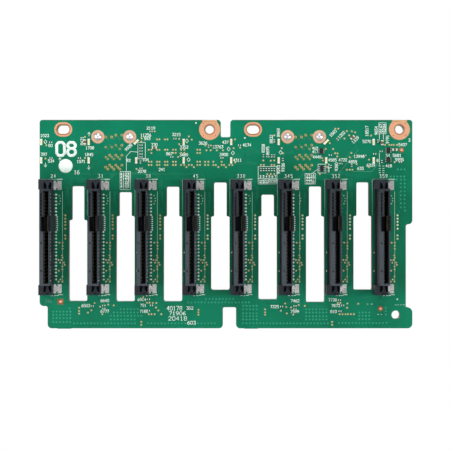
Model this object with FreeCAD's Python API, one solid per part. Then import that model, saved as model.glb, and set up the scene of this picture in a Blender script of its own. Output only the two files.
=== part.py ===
import FreeCAD
import Part
import math
import os

# Drive backplane board for eight small drives, in millimetres.
# The board stands upright: X runs to the right as seen from the drive side, Z is up and the
# drive side faces -Y. The origin is midway between the two round fixing holes, on the
# drive-side face of the board, which seats against the drive cage.

Vector = FreeCAD.Vector

# --- Bays ---------------------------------------------------------------------------------
bay_count = 8
bay_pitch = 17.78            # one drive every 0.7 inch
bays_per_cable = 4           # each rear cable socket serves four bays
first_bay_from_left = 4.0    # board edge to the middle of the first drive slot
last_bay_from_right = 11.19
sockets_below_top = 22.46    # board top edge to the upper ends of the drive sockets
board_below_sockets = 12.74  # lower ends of the drive sockets to the board bottom edge

# --- Drive socket: one row of 7 + 15 contacts and a row of 7 finer ones ---------------------
contact_pitch = 1.27
fine_pitch = 0.8
signal_contacts = 7
power_contacts = 15
signal_to_power = 6.35       # last signal contact to first power contact
row_to_slot_end = 0.925
slot_width = 1.53
slot_depth = 7.2
ridge_thickness = 1.65       # wall on the side of the long contact row
thin_wall = 0.6              # opposite wall
end_bar = 0.9                # solid end of the raised body, beyond the slot
body_height = 9.0
base_gap = 0.25              # room under the body for the contact feet
flange_width = 0.6
flange_height = 1.5
lead_in = 0.25               # steep chamfer round the slot mouth
lead_in_depth = 0.8
end_block_length = 3.75
end_block_left = 3.62        # from the slot middle to the left side of an end block
end_block_height = 4.6
end_pocket_left = 1.95       # left side of an end block to its left pocket
end_pocket_right = 0.15
end_pocket_near = 0.25       # along the end block, from the raised body
end_pocket_far = 2.6
end_web_near = 0.3           # half widths of the web between the pockets
end_web_waist = 0.4
end_web_far = 0.9
end_web_waist_at = 1.4
end_groove_length = 1.2
end_groove_width = 0.2
end_groove_at = 3.0
key_length = 5.4             # pocket for the key of the drive plug
key_below_fine = 0.2         # from the middle of the fine contacts to the middle of the pocket
key_depth = 5.0
key_wall = 0.45              # what is left of the ridge beside the key pocket
bulge_inward = 0.26          # wall of the fine contacts, towards the slot
bulge_outward = 0.45
bulge_margin = 0.55
bulge_drop = 0.5             # the bulge stays below the body top
chamber_wall = 0.2           # outer wall of the chambers of the fine contacts
chamber_length = 0.45
test_window = 0.65           # square windows in the ridge, one by each signal contact
window_channel = 0.2         # narrow channel that joins the windows
window_depth = 2.6
core_hole_radius = 0.3       # moulding core holes in the power part of the ridge
core_hole_drops = (4.02, 14.18)   # from the first power contact
recess_depth = 1.8
comb_width = 0.4             # grooves down the thin wall, one in line with each long-row contact
comb_depth = 0.2
comb_below_top = 1.0

# --- Contacts and hold-down tabs ------------------------------------------------------------
contact_thickness = 0.2
contact_width = 0.45
fine_contact_width = 0.32
contact_below_top = 1.1
slit_clearance = 0.05
foot_reach = 1.15            # feet of the long row, beyond the thin wall
fine_foot_reach = 1.15       # feet of the fine row, beyond the bulge
tab_thickness = 0.3
tab_reach = 2.9
tab_length = 3.4
tab_leg_height = 0.9
tab_inset = 0.4              # free end of the socket to the tab
tab_notch_width = 0.55
tab_notch_depth = 0.6
tab_notch_from_leg = 0.5

# --- Board ----------------------------------------------------------------------------------
board_thickness = 2.36
top_corner_radius = 1.1
round_hole_radius = 1.6
hole_below_top = 3.58
round_hole_from_right = 4.85
slotted_hole_from_left = 8.85
slotted_hole_length = 4.6
slotted_hole_width = 3.3
guide_hole_radius = 1.6
guide_hole_from_right = 6.2
guide_hole_above_bottom = 5.05
notch_slot = 3               # both notches lie in line with this air slot, counted from 0
top_notch_from_slot = 1.94   # from the slot's middle to the middle of the notch
top_notch_width = 3.56
top_notch_depth = 6.45
top_notch_outer_radius = 1.2
bottom_notch_from_slot = 3.42
bottom_notch_width = 4.94
bottom_notch_height = 7.9
bottom_notch_outer_radius = 1.5
notch_inner_radius = 0.6
left_step = 3.0              # the board is narrower at its lower left corner
left_step_height = 8.34
left_step_inner_radius = 0.8
right_step = 2.45            # and along its lower right side
right_step_below_top = 39.1
right_foot_height = 7.82
step_outer_radius = 1.5
step_inner_radius = 0.9
foot_outer_radius = 1.85
foot_inner_radius = 0.5
bottom_left_radius = 1.6
bottom_right_radius = 1.8
stub_height = 0.15           # broken-off panel tabs on the bottom edge
stub_length = 5.2
first_stub_from_left = 6.6
second_stub_from_notch = 5.57

# Air slots stand between the sockets. For each: how far its top and its widening lie below
# the sockets' upper ends, and how far its bottom lies below their lower ends.
slot_middle_from_bay = 10.37
slot_upper_width = 4.7
slot_lower_width = 6.9
slot_corner_radius = 0.65
slot_step_radius = 0.5
air_slots = (
    (2.35, 15.1, 2.5),
    (4.6, 13.6, 2.6),
    (2.55, 13.7, 2.6),
    (0.95, 13.7, -1.7),
    (5.55, 13.65, 1.9),
    (2.45, 13.7, 2.95),
    (0.9, 13.55, -1.7),
)

# --- Copper and solder ----------------------------------------------------------------------
copper_thickness = 0.05
round_land_radius = 3.93
round_land_inner_radius = 2.05
slotted_land_margin = 1.05   # from the slotted hole to the outside of its land
slotted_land_width = 0.6
land_from_edge = 0.12
post_land_radius = 2.47
post_land_inner_radius = 1.45
solder_radius = 1.4
solder_height = 0.85

# --- Rear cable sockets: metal cage, insulator with two card slots, 4 rows of 9 contacts ------
post_beside_lamp = 2.47      # right-hand post to the lamp of the third bay
lamp_beside_post = 2
cable_mouth_above_top = 0.3
cage_width = 12.9
cage_height = 9.7
cage_length = 21.5
cage_wall = 0.3
mouth_depth = 8.0
insulator_clearance = 0.05
card_slot_width = 9.2
card_slot_height = 1.2
card_slot_depth = 5.0
card_slot_spacing = 4.1
cable_contact_pitch = 0.75
cable_contacts_per_row = 9
cable_contact_width = 0.3
cable_contact_height = 0.15
post_spacing = 11.94
post_below_top = 6.33
post_radius = 0.6
post_hole_radius = 0.9
post_tip = 0.5
latch_window_width = 2.2
latch_window_offset = 3.2    # from the middle of the cage
latch_window_length = 2.8
latch_window_from_mouth = 3.2

# --- Rear power header: two rows of ten pins in a shroud ---------------------------------------
header_from_cable_socket = 27.23   # from the left cable socket to the middle of the header
header_below_top = 14.0
header_pin_pitch = 3.0
header_pins_per_row = 10
header_end_wall = 1.6
header_body_width = 8.4
header_height = 9.9
header_gap = 0.35            # room under the shroud for the solder feet
header_end_foot = 1.2
header_wall = 1.0
header_floor = 2.4
header_pin_size = 0.64
header_pin_top_below_rim = 2.2
header_ramp_width = 3.4
header_ramp_reach = 1.0
header_ramp_length = 2.6
header_rim_to_ramp = 1.6
header_foot_reach = 1.3
header_foot_thickness = 0.25

# --- Rear indicator controller -------------------------------------------------------------------
controller_from_right = 18.65
controller_below_top = 13.0
controller_size = 7.0
controller_height = 1.4
controller_gap = 0.1
lead_count_per_side = 8
lead_pitch = 0.8
lead_width = 0.35
lead_reach = 1.0
lead_thickness = 0.15

# --- Indicator lamps: an upper and a lower one for each bay ---------------------------------------
lamp_length = 1.5
lamp_width = 0.8
lamp_height = 0.6
lamp_terminal = 0.4
lamp_first_from_left = 0.65
upper_lamp_below_top = 8.3
lower_lamp_below_top = 15.2
slanted_lamps = (2, 6)       # these clear the lands of the cable sockets' posts
lamp_slant = 45.0

# --- Small parts ----------------------------------------------------------------------------------
chip_length = 1.0
chip_width = 0.5
chip_height = 0.35
chip_cap = 0.25
capacitor_length = 1.7
capacitor_width = 0.85
capacitor_height = 0.8
capacitor_cap = 0.35
transistor_length = 2.0
transistor_width = 1.3
transistor_height = 0.9
transistor_leads = 3
transistor_lead_pitch = 0.65
transistor_lead_width = 0.3
transistor_lead_reach = 0.45
transistor_lead_height = 0.3
transistor_gap = 0.05

# Each place is a bay, the distance across from that bay's middle, the distance below the
# board's top edge, and the angle in degrees, anticlockwise from lying along X.
resistors = (
    (0, 0.2, 8.4, 0), (0, 0.3, 14.3, 0), (1, -6.88, 14.3, 0), (2, 2.19, 4.3, 0),
    (2, -1.76, 15.8, 90), (2, -1.56, 18.2, 0), (3, -7.79, 13.9, 0), (3, -6.64, 7.05, 0),
    (3, 5.96, 9.85, 90), (3, 7.86, 10.2, 90), (4, -6.82, 14.3, 0), (4, -0.22, 9.55, 0),
    (4, 8.73, 13.5, 90), (5, -7.4, 13.8, 0), (5, -5.95, 13.5, 90), (5, -4.95, 13.5, 90),
    (5, -5, 7.9, 90), (5, -1.75, 14.9, 90), (6, -1.78, 13.2, 0), (6, -1.58, 17.5, 90),
    (6, 0.92, 7.3, -45), (6, 6.22, 17, 90), (6, 2.22, 16.4, 0), (7, -6.66, 13.3, 0),
    (7, -2.96, 12.75, 0), (7, -1.76, 7.95, 90), (7, -0.56, 11.8, 0), (7, -0.26, 15.6, 90),
    (7, 6.64, 15.8, 0), (1, -2.03, 69.75, 0), (1, 2.32, 69.5, 0), (1, 2.32, 70.65, 0),
    (2, 1.24, 67.2, 0), (2, 2.34, 69.5, 0), (2, 1.24, 71.5, 0), (5, -2.25, 69.9, 0),
    (5, 2.75, 69.7, 0), (5, 2.75, 70.85, 0), (6, 1.62, 67.5, 0), (6, 2.82, 69.5, 0),
    (6, 1.82, 71.65, 0),
)
ladder_start = (2, -1.56, 9.5)             # a column of resistors: bay, across, below top
ladder_count = 5
ladder_pitch = 1.1
row_start = (4, 7.78, 18.65)               # a row of upright ones
row_count = 6
row_pitch = 1.01
capacitors = (
    (1, -4.83, 8.3, 90), (2, 3.44, 10.4, 0), (6, 6.47, 6.6, 45), (7, -0.16, 8.6, 90),
    (7, 4.54, 11.2, 0),
)
transistors = (
    (7, 2.14, 11.4, 90), (7, 2.14, 14.95, 90), (6, -5.18, 11.7, 90), (6, -4.98, 18.2, 90),
)

# --- Sizes that follow ----------------------------------------------------------------------------
cable_span = bays_per_cable * bay_pitch
contact_row = (signal_contacts + power_contacts - 2) * contact_pitch + signal_to_power
slot_length = contact_row + 2 * row_to_slot_end
body_length = slot_length + 2 * end_bar
socket_length = body_length + 2 * end_block_length
board_width = first_bay_from_left + (bay_count - 1) * bay_pitch + last_bay_from_right
board_height = sockets_below_top + socket_length + board_below_sockets

third_lamp = lamp_first_from_left + lamp_beside_post * bay_pitch
cable_socket_from_left = third_lamp - post_beside_lamp - post_spacing / 2
header_from_left = cable_socket_from_left + header_from_cable_socket

right = cable_span / 2 + round_hole_from_right
left = right - board_width
top = hole_below_top
bottom = top - board_height
socket_z = top - sockets_below_top - socket_length / 2
rear_face = board_thickness
body_left = -slot_width / 2 - ridge_thickness
body_right = slot_width / 2 + thin_wall
first_contact = contact_row / 2
first_power_contact = first_contact - (signal_contacts - 1) * contact_pitch - signal_to_power
key_middle = first_power_contact + signal_to_power / 2
bulge_length = (signal_contacts - 1) * fine_pitch + 2 * bulge_margin


# --- Helpers --------------------------------------------------------------------------------------
def box(x, y, z):
    # A box between three pairs of coordinates.
    corner = Vector(min(x), min(y), min(z))
    return Part.makeBox(abs(x[1] - x[0]), abs(y[1] - y[0]), abs(z[1] - z[0]), corner)


def block(across, height, along):
    # A box on the drive side; height is measured from the board's face.
    return box(across, (-height[0], -height[1]), along)


def polygon_prism(points, height):
    # A prism whose outline lies in the board's plane.
    corners = [Vector(x, -height[0], z) for x, z in points]
    face = Part.Face(Part.makePolygon(corners + corners[:1]))
    return face.extrude(Vector(0, height[0] - height[1], 0))


def profile_bar(points, along):
    # A bar along Z whose section is given as (across, height above the board) points.
    corners = [Vector(x, -height, along[0]) for x, height in points]
    face = Part.Face(Part.makePolygon(corners + corners[:1]))
    return face.extrude(Vector(0, 0, along[1] - along[0]))


def rounded_face(corners, y):
    # A face in the board's plane from (x, z, corner radius) points.
    points = [Vector(x, y, z) for x, z, radius in corners]
    edges = []
    joints = []
    for index, corner in enumerate(points):
        back = (points[index - 1] - corner).normalize()
        ahead = (points[(index + 1) % len(points)] - corner).normalize()
        radius = corners[index][2]
        half_angle = back.getAngle(ahead) / 2
        reach = radius / math.tan(half_angle)
        middle = (back + ahead).normalize() * (radius / math.sin(half_angle) - radius)
        start = corner + back * reach
        end = corner + ahead * reach
        edges.append(Part.Arc(start, corner + middle, end).toShape())
        joints.append((start, end))
    for index in range(len(points)):
        start = joints[index - 1][1]
        end = joints[index][0]
        edges.append(Part.LineSegment(start, end).toShape())
    return Part.Face(Part.Wire(Part.__sortEdges__(edges)))


def obround(length, width, x, z, y, depth):
    # A slot-shaped plug along X, from y into +Y.
    half = (length - width) / 2
    radius = width / 2
    lower_left = Vector(x - half, y, z - radius)
    lower_right = Vector(x + half, y, z - radius)
    upper_right = Vector(x + half, y, z + radius)
    upper_left = Vector(x - half, y, z + radius)
    edges = [
        Part.LineSegment(lower_left, lower_right).toShape(),
        Part.Arc(lower_right, Vector(x + half + radius, y, z), upper_right).toShape(),
        Part.LineSegment(upper_right, upper_left).toShape(),
        Part.Arc(upper_left, Vector(x - half - radius, y, z), lower_left).toShape(),
    ]
    return Part.Face(Part.Wire(edges)).extrude(Vector(0, depth, 0))


def disc(radius, x, z, y, depth):
    return Part.makeCylinder(radius, depth, Vector(x, y, z), Vector(0, 1, 0))


def moved(shape, x, y, z):
    copy = shape.copy()
    copy.translate(Vector(x, y, z))
    return copy


def turned(shape, degrees):
    # Anticlockwise as seen from the drive side.
    copy = shape.copy()
    copy.rotate(Vector(0, 0, 0), Vector(0, -1, 0), degrees)
    return copy


def write(name, shapes):
    shape = Part.makeCompound(shapes) if len(shapes) > 1 else shapes[0]
    shape.exportStep("parts/" + name + ".step")


# --- Board ----------------------------------------------------------------------------------------
def bay_x(bay):
    return left + first_bay_from_left + bay * bay_pitch


def place(from_left, from_top):
    return left + from_left, top - from_top


def round_hole_places():
    return [(-cable_span / 2, 0), (cable_span / 2, 0)]


def slotted_hole_places():
    first = left + slotted_hole_from_left
    return [(first, 0), (first + cable_span, 0)]


def post_places():
    places = []
    for socket in range(2):
        middle = left + cable_socket_from_left + socket * cable_span
        places.append((middle - post_spacing / 2, top - post_below_top))
        places.append((middle + post_spacing / 2, top - post_below_top))
    return places


def board_outline():
    slot_middle = bay_x(notch_slot) + slot_middle_from_bay
    top_notch = slot_middle + top_notch_from_slot - top_notch_width / 2
    bottom_notch = slot_middle + bottom_notch_from_slot - bottom_notch_width / 2
    top_notch_floor = top - top_notch_depth
    bottom_notch_roof = bottom + bottom_notch_height
    right_step_z = top - right_step_below_top
    right_foot_z = bottom + right_foot_height
    left_step_z = bottom + left_step_height
    return [
        (left, top, top_corner_radius),
        (top_notch, top, top_notch_outer_radius),
        (top_notch, top_notch_floor, notch_inner_radius),
        (top_notch + top_notch_width, top_notch_floor, notch_inner_radius),
        (top_notch + top_notch_width, top, top_notch_outer_radius),
        (right, top, top_corner_radius),
        (right, right_step_z, step_outer_radius),
        (right - right_step, right_step_z, step_inner_radius),
        (right - right_step, right_foot_z, foot_inner_radius),
        (right, right_foot_z, foot_outer_radius),
        (right, bottom, bottom_right_radius),
        (bottom_notch + bottom_notch_width, bottom, bottom_notch_outer_radius),
        (bottom_notch + bottom_notch_width, bottom_notch_roof, notch_inner_radius),
        (bottom_notch, bottom_notch_roof, notch_inner_radius),
        (bottom_notch, bottom, bottom_notch_outer_radius),
        (left + left_step, bottom, bottom_left_radius),
        (left + left_step, left_step_z, left_step_inner_radius),
        (left, left_step_z, step_outer_radius),
    ]


def air_slot_outline(index):
    middle = bay_x(index) + slot_middle_from_bay
    top_drop, step_drop, bottom_drop = air_slots[index]
    upper_end = socket_z + socket_length / 2
    lower_end = socket_z - socket_length / 2
    near = slot_upper_width / 2
    far = slot_lower_width / 2
    return [
        (middle - near, upper_end - top_drop, slot_corner_radius),
        (middle + near, upper_end - top_drop, slot_corner_radius),
        (middle + near, upper_end - step_drop, slot_step_radius),
        (middle + far, upper_end - step_drop, slot_step_radius),
        (middle + far, lower_end - bottom_drop, slot_corner_radius),
        (middle - far, lower_end - bottom_drop, slot_corner_radius),
        (middle - far, upper_end - step_drop, slot_step_radius),
        (middle - near, upper_end - step_drop, slot_step_radius),
    ]


def circuit_board():
    through = Vector(0, board_thickness, 0)
    board = rounded_face(board_outline(), 0).extrude(through)
    stubs = []
    notch_middle = bay_x(notch_slot) + slot_middle_from_bay + bottom_notch_from_slot
    second_stub = notch_middle + second_stub_from_notch
    for start in (left + first_stub_from_left, second_stub):
        span = (start, start + stub_length)
        stubs.append(box(span, (0, board_thickness), (bottom - stub_height, bottom + stub_height)))
    board = board.fuse(stubs)
    cuts = [rounded_face(air_slot_outline(index), 0).extrude(through) for index in range(len(air_slots))]
    for x, z in round_hole_places():
        cuts.append(disc(round_hole_radius, x, z, 0, board_thickness))
    for x, z in slotted_hole_places():
        cuts.append(obround(slotted_hole_length, slotted_hole_width, x, z, 0, board_thickness))
    for x, z in post_places():
        cuts.append(disc(post_hole_radius, x, z, 0, board_thickness))
    guide_x = right - guide_hole_from_right
    guide_z = bottom + guide_hole_above_bottom
    cuts.append(disc(guide_hole_radius, guide_x, guide_z, 0, board_thickness))
    return board.cut(cuts).removeSplitter()


def screw_lands():
    # Bare copper round the fixing holes, on both faces of the board.
    lands = []
    beyond = board_thickness
    keep = box((left, right), (-beyond, board_thickness + beyond), (bottom, top - land_from_edge))
    for y in (-copper_thickness, rear_face):
        for x, z in round_hole_places():
            ring = disc(round_land_radius, x, z, y, copper_thickness)
            ring = ring.cut(disc(round_land_inner_radius, x, z, y, copper_thickness))
            lands.append(ring.common(keep))
        for x, z in slotted_hole_places():
            length = slotted_hole_length + 2 * slotted_land_margin
            width = slotted_hole_width + 2 * slotted_land_margin
            ring = obround(length, width, x, z, y, copper_thickness)
            length -= 2 * slotted_land_width
            width -= 2 * slotted_land_width
            ring = ring.cut(obround(length, width, x, z, y, copper_thickness))
            lands.append(ring.common(keep))
    return lands


def post_lands():
    rings = []
    for x, z in post_places():
        ring = disc(post_land_radius, x, z, -copper_thickness, copper_thickness)
        rings.append(ring.cut(disc(post_land_inner_radius, x, z, -copper_thickness, copper_thickness)))
    return rings


def post_solder():
    # A low dome over the tip of each post of the rear cable sockets.
    sphere_radius = (solder_radius ** 2 + solder_height ** 2) / (2 * solder_height)
    domes = []
    for x, z in post_places():
        centre = Vector(x, sphere_radius - solder_height, z)
        cap = Part.makeSphere(sphere_radius, centre)
        above = box((x - solder_radius, x + solder_radius), (-solder_height, 0),
                    (z - solder_radius, z + solder_radius))
        dome = cap.common(above).cut(disc(post_radius, x, z, -post_tip, post_tip))
        domes.append(dome)
    return domes


# --- Drive sockets --------------------------------------------------------------------------------
def signal_places():
    return [first_contact - index * contact_pitch for index in range(signal_contacts)]


def power_places():
    return [first_power_contact - index * contact_pitch for index in range(power_contacts)]


def fine_places():
    first = key_middle + (signal_contacts - 1) * fine_pitch / 2
    return [first - index * fine_pitch for index in range(signal_contacts)]


def socket_body():
    # The raised body with its flange, the bulge of the fine contacts and the end blocks.
    half_body = body_length / 2
    half_socket = socket_length / 2
    solids = [
        block((body_left, body_right), (base_gap, body_height), (-half_body, half_body)),
        block((body_left - flange_width, body_left), (base_gap, flange_height), (-half_body, half_body)),
        block(
            (body_right, body_right + bulge_outward),
            (base_gap, body_height - bulge_drop),
            (key_middle - bulge_length / 2, key_middle + bulge_length / 2),
        ),
    ]
    for side in (-1, 1):
        along = (side * half_body, side * half_socket)
        solids.append(block((-end_block_left, body_right), (0, end_block_height), along))
    return solids[0].fuse(solids[1:])


def slot_cuts():
    # The slot for the drive's plug, its lead-in, the key pocket and the slits of the contacts.
    half = slot_width / 2
    inner = half - bulge_inward
    floor = body_height - slot_depth
    low = -slot_length / 2
    high = slot_length / 2
    bulge_low = key_middle - bulge_length / 2
    bulge_high = key_middle + bulge_length / 2
    pocket = key_middle - key_below_fine
    slot = polygon_prism(
        [
            (-half, low), (half, low), (half, bulge_low), (inner, bulge_low),
            (inner, bulge_high), (half, bulge_high), (half, high), (-half, high),
        ],
        (floor, body_height),
    )
    mouth = Part.makeLoft(
        [
            rectangle(half, high, body_height - lead_in_depth),
            rectangle(half + lead_in, high + lead_in, body_height),
        ],
        True,
    )
    key = block(
        (body_left + key_wall, 0),
        (body_height - key_depth, body_height),
        (pocket - key_length / 2, pocket + key_length / 2),
    )
    cuts = [slot, mouth, key]
    slit = contact_thickness + slit_clearance
    for places in (signal_places(), power_places()):
        along = (places[-1] - contact_pitch / 2, places[0] + contact_pitch / 2)
        cuts.append(block((-half, -half + slit), (base_gap, floor), along))
    fine = fine_places()
    along = (fine[-1] - fine_pitch / 2, fine[0] + fine_pitch / 2)
    cuts.append(block((inner - slit, inner), (base_gap, floor), along))
    return cuts


def rectangle(half_width, half_length, height):
    corners = [
        Vector(-half_width, -height, -half_length),
        Vector(half_width, -height, -half_length),
        Vector(half_width, -height, half_length),
        Vector(-half_width, -height, half_length),
    ]
    return Part.makePolygon(corners + corners[:1])


def ridge_cuts():
    # Square windows by the signal contacts, a channel along their outer side, and two round
    # core holes in the power part.
    middle = body_left + ridge_thickness / 2 - lead_in / 2
    half = test_window / 2
    depth = (body_height - window_depth, body_height)
    places = signal_places()
    across = (middle - half, middle - half + window_channel)
    cuts = [block(across, depth, (places[-1], places[0]))]
    for z in places:
        cuts.append(block((middle - half, middle + half), depth, (z - half, z + half)))
    for drop in core_hole_drops:
        cuts.append(disc(core_hole_radius, middle, first_power_contact - drop, -body_height, window_depth))
    return cuts


def bulge_cuts():
    # One chamber behind each fine contact, open towards the slot.
    stop = body_right + bulge_outward - chamber_wall
    depth = (body_height - window_depth, body_height)
    half = chamber_length / 2
    return [block((0, stop), depth, (z - half, z + half)) for z in fine_places()]


def comb_cuts():
    # Shallow grooves down the outside of the thin wall.
    across = (body_right - comb_depth, body_right)
    height = (base_gap, body_height - comb_below_top)
    half = comb_width / 2
    return [block(across, height, (z - half, z + half)) for z in signal_places() + power_places()]


def end_block_cuts():
    # Two pockets and a groove that leave an hourglass-shaped web in the top of each end block.
    cuts = []
    near = body_length / 2 + end_pocket_near
    waist = body_length / 2 + end_web_waist_at
    far = body_length / 2 + end_pocket_far
    groove = body_length / 2 + end_groove_at
    left_side = end_pocket_left - end_block_left
    right_side = body_right - end_pocket_right
    middle = (left_side + right_side) / 2
    depth = (end_block_height - recess_depth, end_block_height)
    for end in (-1, 1):
        for side, outer in ((-1, left_side), (1, right_side)):
            points = [
                (outer, end * near),
                (middle + side * end_web_near, end * near),
                (middle + side * end_web_waist, end * waist),
                (middle + side * end_web_far, end * far),
                (outer, end * far),
            ]
            cuts.append(polygon_prism(points, depth))
        across = (middle - end_groove_length / 2, middle + end_groove_length / 2)
        cuts.append(block(across, depth, (end * groove, end * (groove + end_groove_width))))
    return cuts


def socket_housing():
    cuts = slot_cuts() + ridge_cuts() + bulge_cuts() + comb_cuts() + end_block_cuts()
    return socket_body().cut(cuts).removeSplitter()


def bent_contact(leg, foot_end, width, z):
    # An upright spring leg that turns into a foot along the board.
    contact_top = body_height - contact_below_top
    section = [
        (leg, 0),
        (foot_end, 0),
        (foot_end, contact_thickness),
        (leg + contact_thickness, contact_thickness),
        (leg + contact_thickness, contact_top),
        (leg, contact_top),
    ]
    return profile_bar(section, (z - width / 2, z + width / 2))


def socket_contacts():
    long_leg = -slot_width / 2
    long_foot = body_right + foot_reach
    fine_leg = slot_width / 2 - bulge_inward - contact_thickness
    fine_foot = body_right + bulge_outward + fine_foot_reach
    contacts = []
    for z in signal_places() + power_places():
        contacts.append(bent_contact(long_leg, long_foot, contact_width, z))
    for z in fine_places():
        contacts.append(bent_contact(fine_leg, fine_foot, fine_contact_width, z))
    return contacts


def hold_down_tabs():
    # A solder tab beside each end block, with a leg up its side and two small notches.
    tabs = []
    section = [
        (body_right, 0),
        (body_right + tab_reach, 0),
        (body_right + tab_reach, tab_thickness),
        (body_right + tab_thickness, tab_thickness),
        (body_right + tab_thickness, tab_leg_height),
        (body_right, tab_leg_height),
    ]
    notch_start = body_right + tab_thickness + tab_notch_from_leg
    across = (notch_start, notch_start + tab_notch_width)
    for side in (-1, 1):
        outer = side * (socket_length / 2 - tab_inset)
        inner = outer - side * tab_length
        tab = profile_bar(section, (outer, inner))
        for end, inward in ((outer, -side), (inner, side)):
            tab = tab.cut(block(across, (0, tab_thickness), (end, end + inward * tab_notch_depth)))
        tabs.append(tab)
    return tabs


# --- Rear cable sockets ---------------------------------------------------------------------------
def cable_cage():
    # A folded metal cage, open at its mouth, with two latch windows and two posts.
    half = cage_width / 2
    cage = box((-half, half), (0, cage_height), (-cage_length, 0))
    hollow = box(
        (cage_wall - half, half - cage_wall),
        (cage_wall, cage_height - cage_wall),
        (cage_wall - cage_length, 0),
    )
    cage = cage.cut(hollow)
    window_z = (-latch_window_from_mouth - latch_window_length, -latch_window_from_mouth)
    for side in (-1, 1):
        middle = side * latch_window_offset
        window_x = (middle - latch_window_width / 2, middle + latch_window_width / 2)
        cage = cage.cut(box(window_x, (cage_height - cage_wall, cage_height), window_z))
    post_z = -(cable_mouth_above_top + post_below_top)
    posts = []
    for side in (-1, 1):
        length = board_thickness + post_tip
        posts.append(disc(post_radius, side * post_spacing / 2, post_z, -length, length))
    return cage.fuse(posts).removeSplitter()


def card_slot_heights():
    middle = cage_height / 2
    return [middle - card_slot_spacing / 2, middle + card_slot_spacing / 2]


def cable_insulator():
    gap = cage_wall + insulator_clearance
    half = cage_width / 2 - gap
    body = box((-half, half), (cage_wall, cage_height - gap), (cage_wall - cage_length, -mouth_depth))
    cuts = []
    for height in card_slot_heights():
        slot_y = (height - card_slot_height / 2, height + card_slot_height / 2)
        slot_z = (-mouth_depth - card_slot_depth, -mouth_depth)
        cuts.append(box((-card_slot_width / 2, card_slot_width / 2), slot_y, slot_z))
    return body.cut(cuts)


def cable_contacts():
    # Nine contacts on each side of both card slots.
    contacts = []
    first = -(cable_contacts_per_row - 1) * cable_contact_pitch / 2
    along = (-mouth_depth - card_slot_depth, -mouth_depth - cable_contact_width)
    for height in card_slot_heights():
        for side in (-1, 1):
            wall = height + side * card_slot_height / 2
            for index in range(cable_contacts_per_row):
                x = first + index * cable_contact_pitch
                across = (x - cable_contact_width / 2, x + cable_contact_width / 2)
                contacts.append(box(across, (wall, wall - side * cable_contact_height), along))
    return contacts


# --- Rear power header ----------------------------------------------------------------------------
def header_length():
    return (header_pins_per_row - 1) * header_pin_pitch + header_pin_pitch + 2 * header_end_wall


def power_header():
    # A shroud with a latch ramp on its upper side.
    half_length = header_length() / 2
    half_width = header_body_width / 2
    body = box((-half_length, half_length), (header_gap, header_height), (-half_width, half_width))
    feet = []
    for side in (-1, 1):
        across = (side * half_length, side * (half_length - header_end_foot))
        feet.append(box(across, (0, header_gap), (-half_width, half_width)))
    ramp_end = header_height - header_rim_to_ramp
    ramp_corners = [
        Vector(-header_ramp_width / 2, ramp_end, half_width),
        Vector(-header_ramp_width / 2, ramp_end - header_ramp_length, half_width),
        Vector(-header_ramp_width / 2, ramp_end - header_ramp_length, half_width + header_ramp_reach),
    ]
    ramp = Part.Face(Part.makePolygon(ramp_corners + ramp_corners[:1]))
    ramp = ramp.extrude(Vector(header_ramp_width, 0, 0))
    cavity = box(
        (header_end_wall - half_length, half_length - header_end_wall),
        (header_floor, header_height),
        (header_wall - half_width, half_width - header_wall),
    )
    return body.fuse([ramp] + feet).cut([cavity] + header_pin_bars(header_gap, header_floor)).removeSplitter()


def header_pin_places():
    first = -(header_pins_per_row - 1) * header_pin_pitch / 2
    places = []
    for row in (-1, 1):
        for index in range(header_pins_per_row):
            places.append((first + index * header_pin_pitch, row))
    return places


def header_pin_bars(start, stop):
    # The square upright part of each pin between two distances from the board.
    half = header_pin_size / 2
    bars = []
    for x, row in header_pin_places():
        z = row * header_pin_pitch / 2
        bars.append(box((x - half, x + half), (start, stop), (z - half, z + half)))
    return bars


def header_pins():
    # Square pins that turn outward under the shroud into flat solder feet.
    half = header_pin_size / 2
    pins = []
    toe = header_body_width / 2 + header_foot_reach
    pin_top = header_height - header_pin_top_below_rim
    for x, row in header_pin_places():
        inner = row * (header_pin_pitch / 2 - half)
        outer = row * (header_pin_pitch / 2 + half)
        section = [
            Vector(x - half, 0, inner),
            Vector(x - half, 0, row * toe),
            Vector(x - half, header_foot_thickness, row * toe),
            Vector(x - half, header_foot_thickness, outer),
            Vector(x - half, pin_top, outer),
            Vector(x - half, pin_top, inner),
        ]
        face = Part.Face(Part.makePolygon(section + section[:1]))
        pins.append(face.extrude(Vector(header_pin_size, 0, 0)))
    return pins


# --- Rear indicator controller --------------------------------------------------------------------
def controller_body():
    half = controller_size / 2
    return box((-half, half), (controller_gap, controller_gap + controller_height), (-half, half))


def controller_leads():
    # Gull-wing leads on all four sides, drawn as one folded bar each.
    half = controller_size / 2
    knee = half + lead_reach / 2
    toe = half + lead_reach
    entry = controller_gap + controller_height / 2
    section = [
        Vector(half, entry, 0),
        Vector(half, entry + lead_thickness, 0),
        Vector(knee + lead_thickness, entry + lead_thickness, 0),
        Vector(knee + lead_thickness, lead_thickness, 0),
        Vector(toe, lead_thickness, 0),
        Vector(toe, 0, 0),
        Vector(knee, 0, 0),
        Vector(knee, entry, 0),
    ]
    first = -(lead_count_per_side - 1) * lead_pitch / 2
    leads = []
    for turn in range(4):
        for index in range(lead_count_per_side):
            lead = Part.Face(Part.makePolygon(section + section[:1]))
            lead = lead.extrude(Vector(0, 0, lead_width))
            lead.translate(Vector(0, 0, first + index * lead_pitch - lead_width / 2))
            leads.append(turned(lead, turn * 90))
    return leads


# --- Small parts on the drive side ----------------------------------------------------------------
def two_terminal_part(length, width, height, cap):
    # A body between two end caps, lying along X.
    half = length / 2
    depth = (0, height)
    body = block((cap - half, half - cap), depth, (-width / 2, width / 2))
    caps = [
        block((-half, cap - half), depth, (-width / 2, width / 2)),
        block((half - cap, half), depth, (-width / 2, width / 2)),
    ]
    return body, caps


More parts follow.
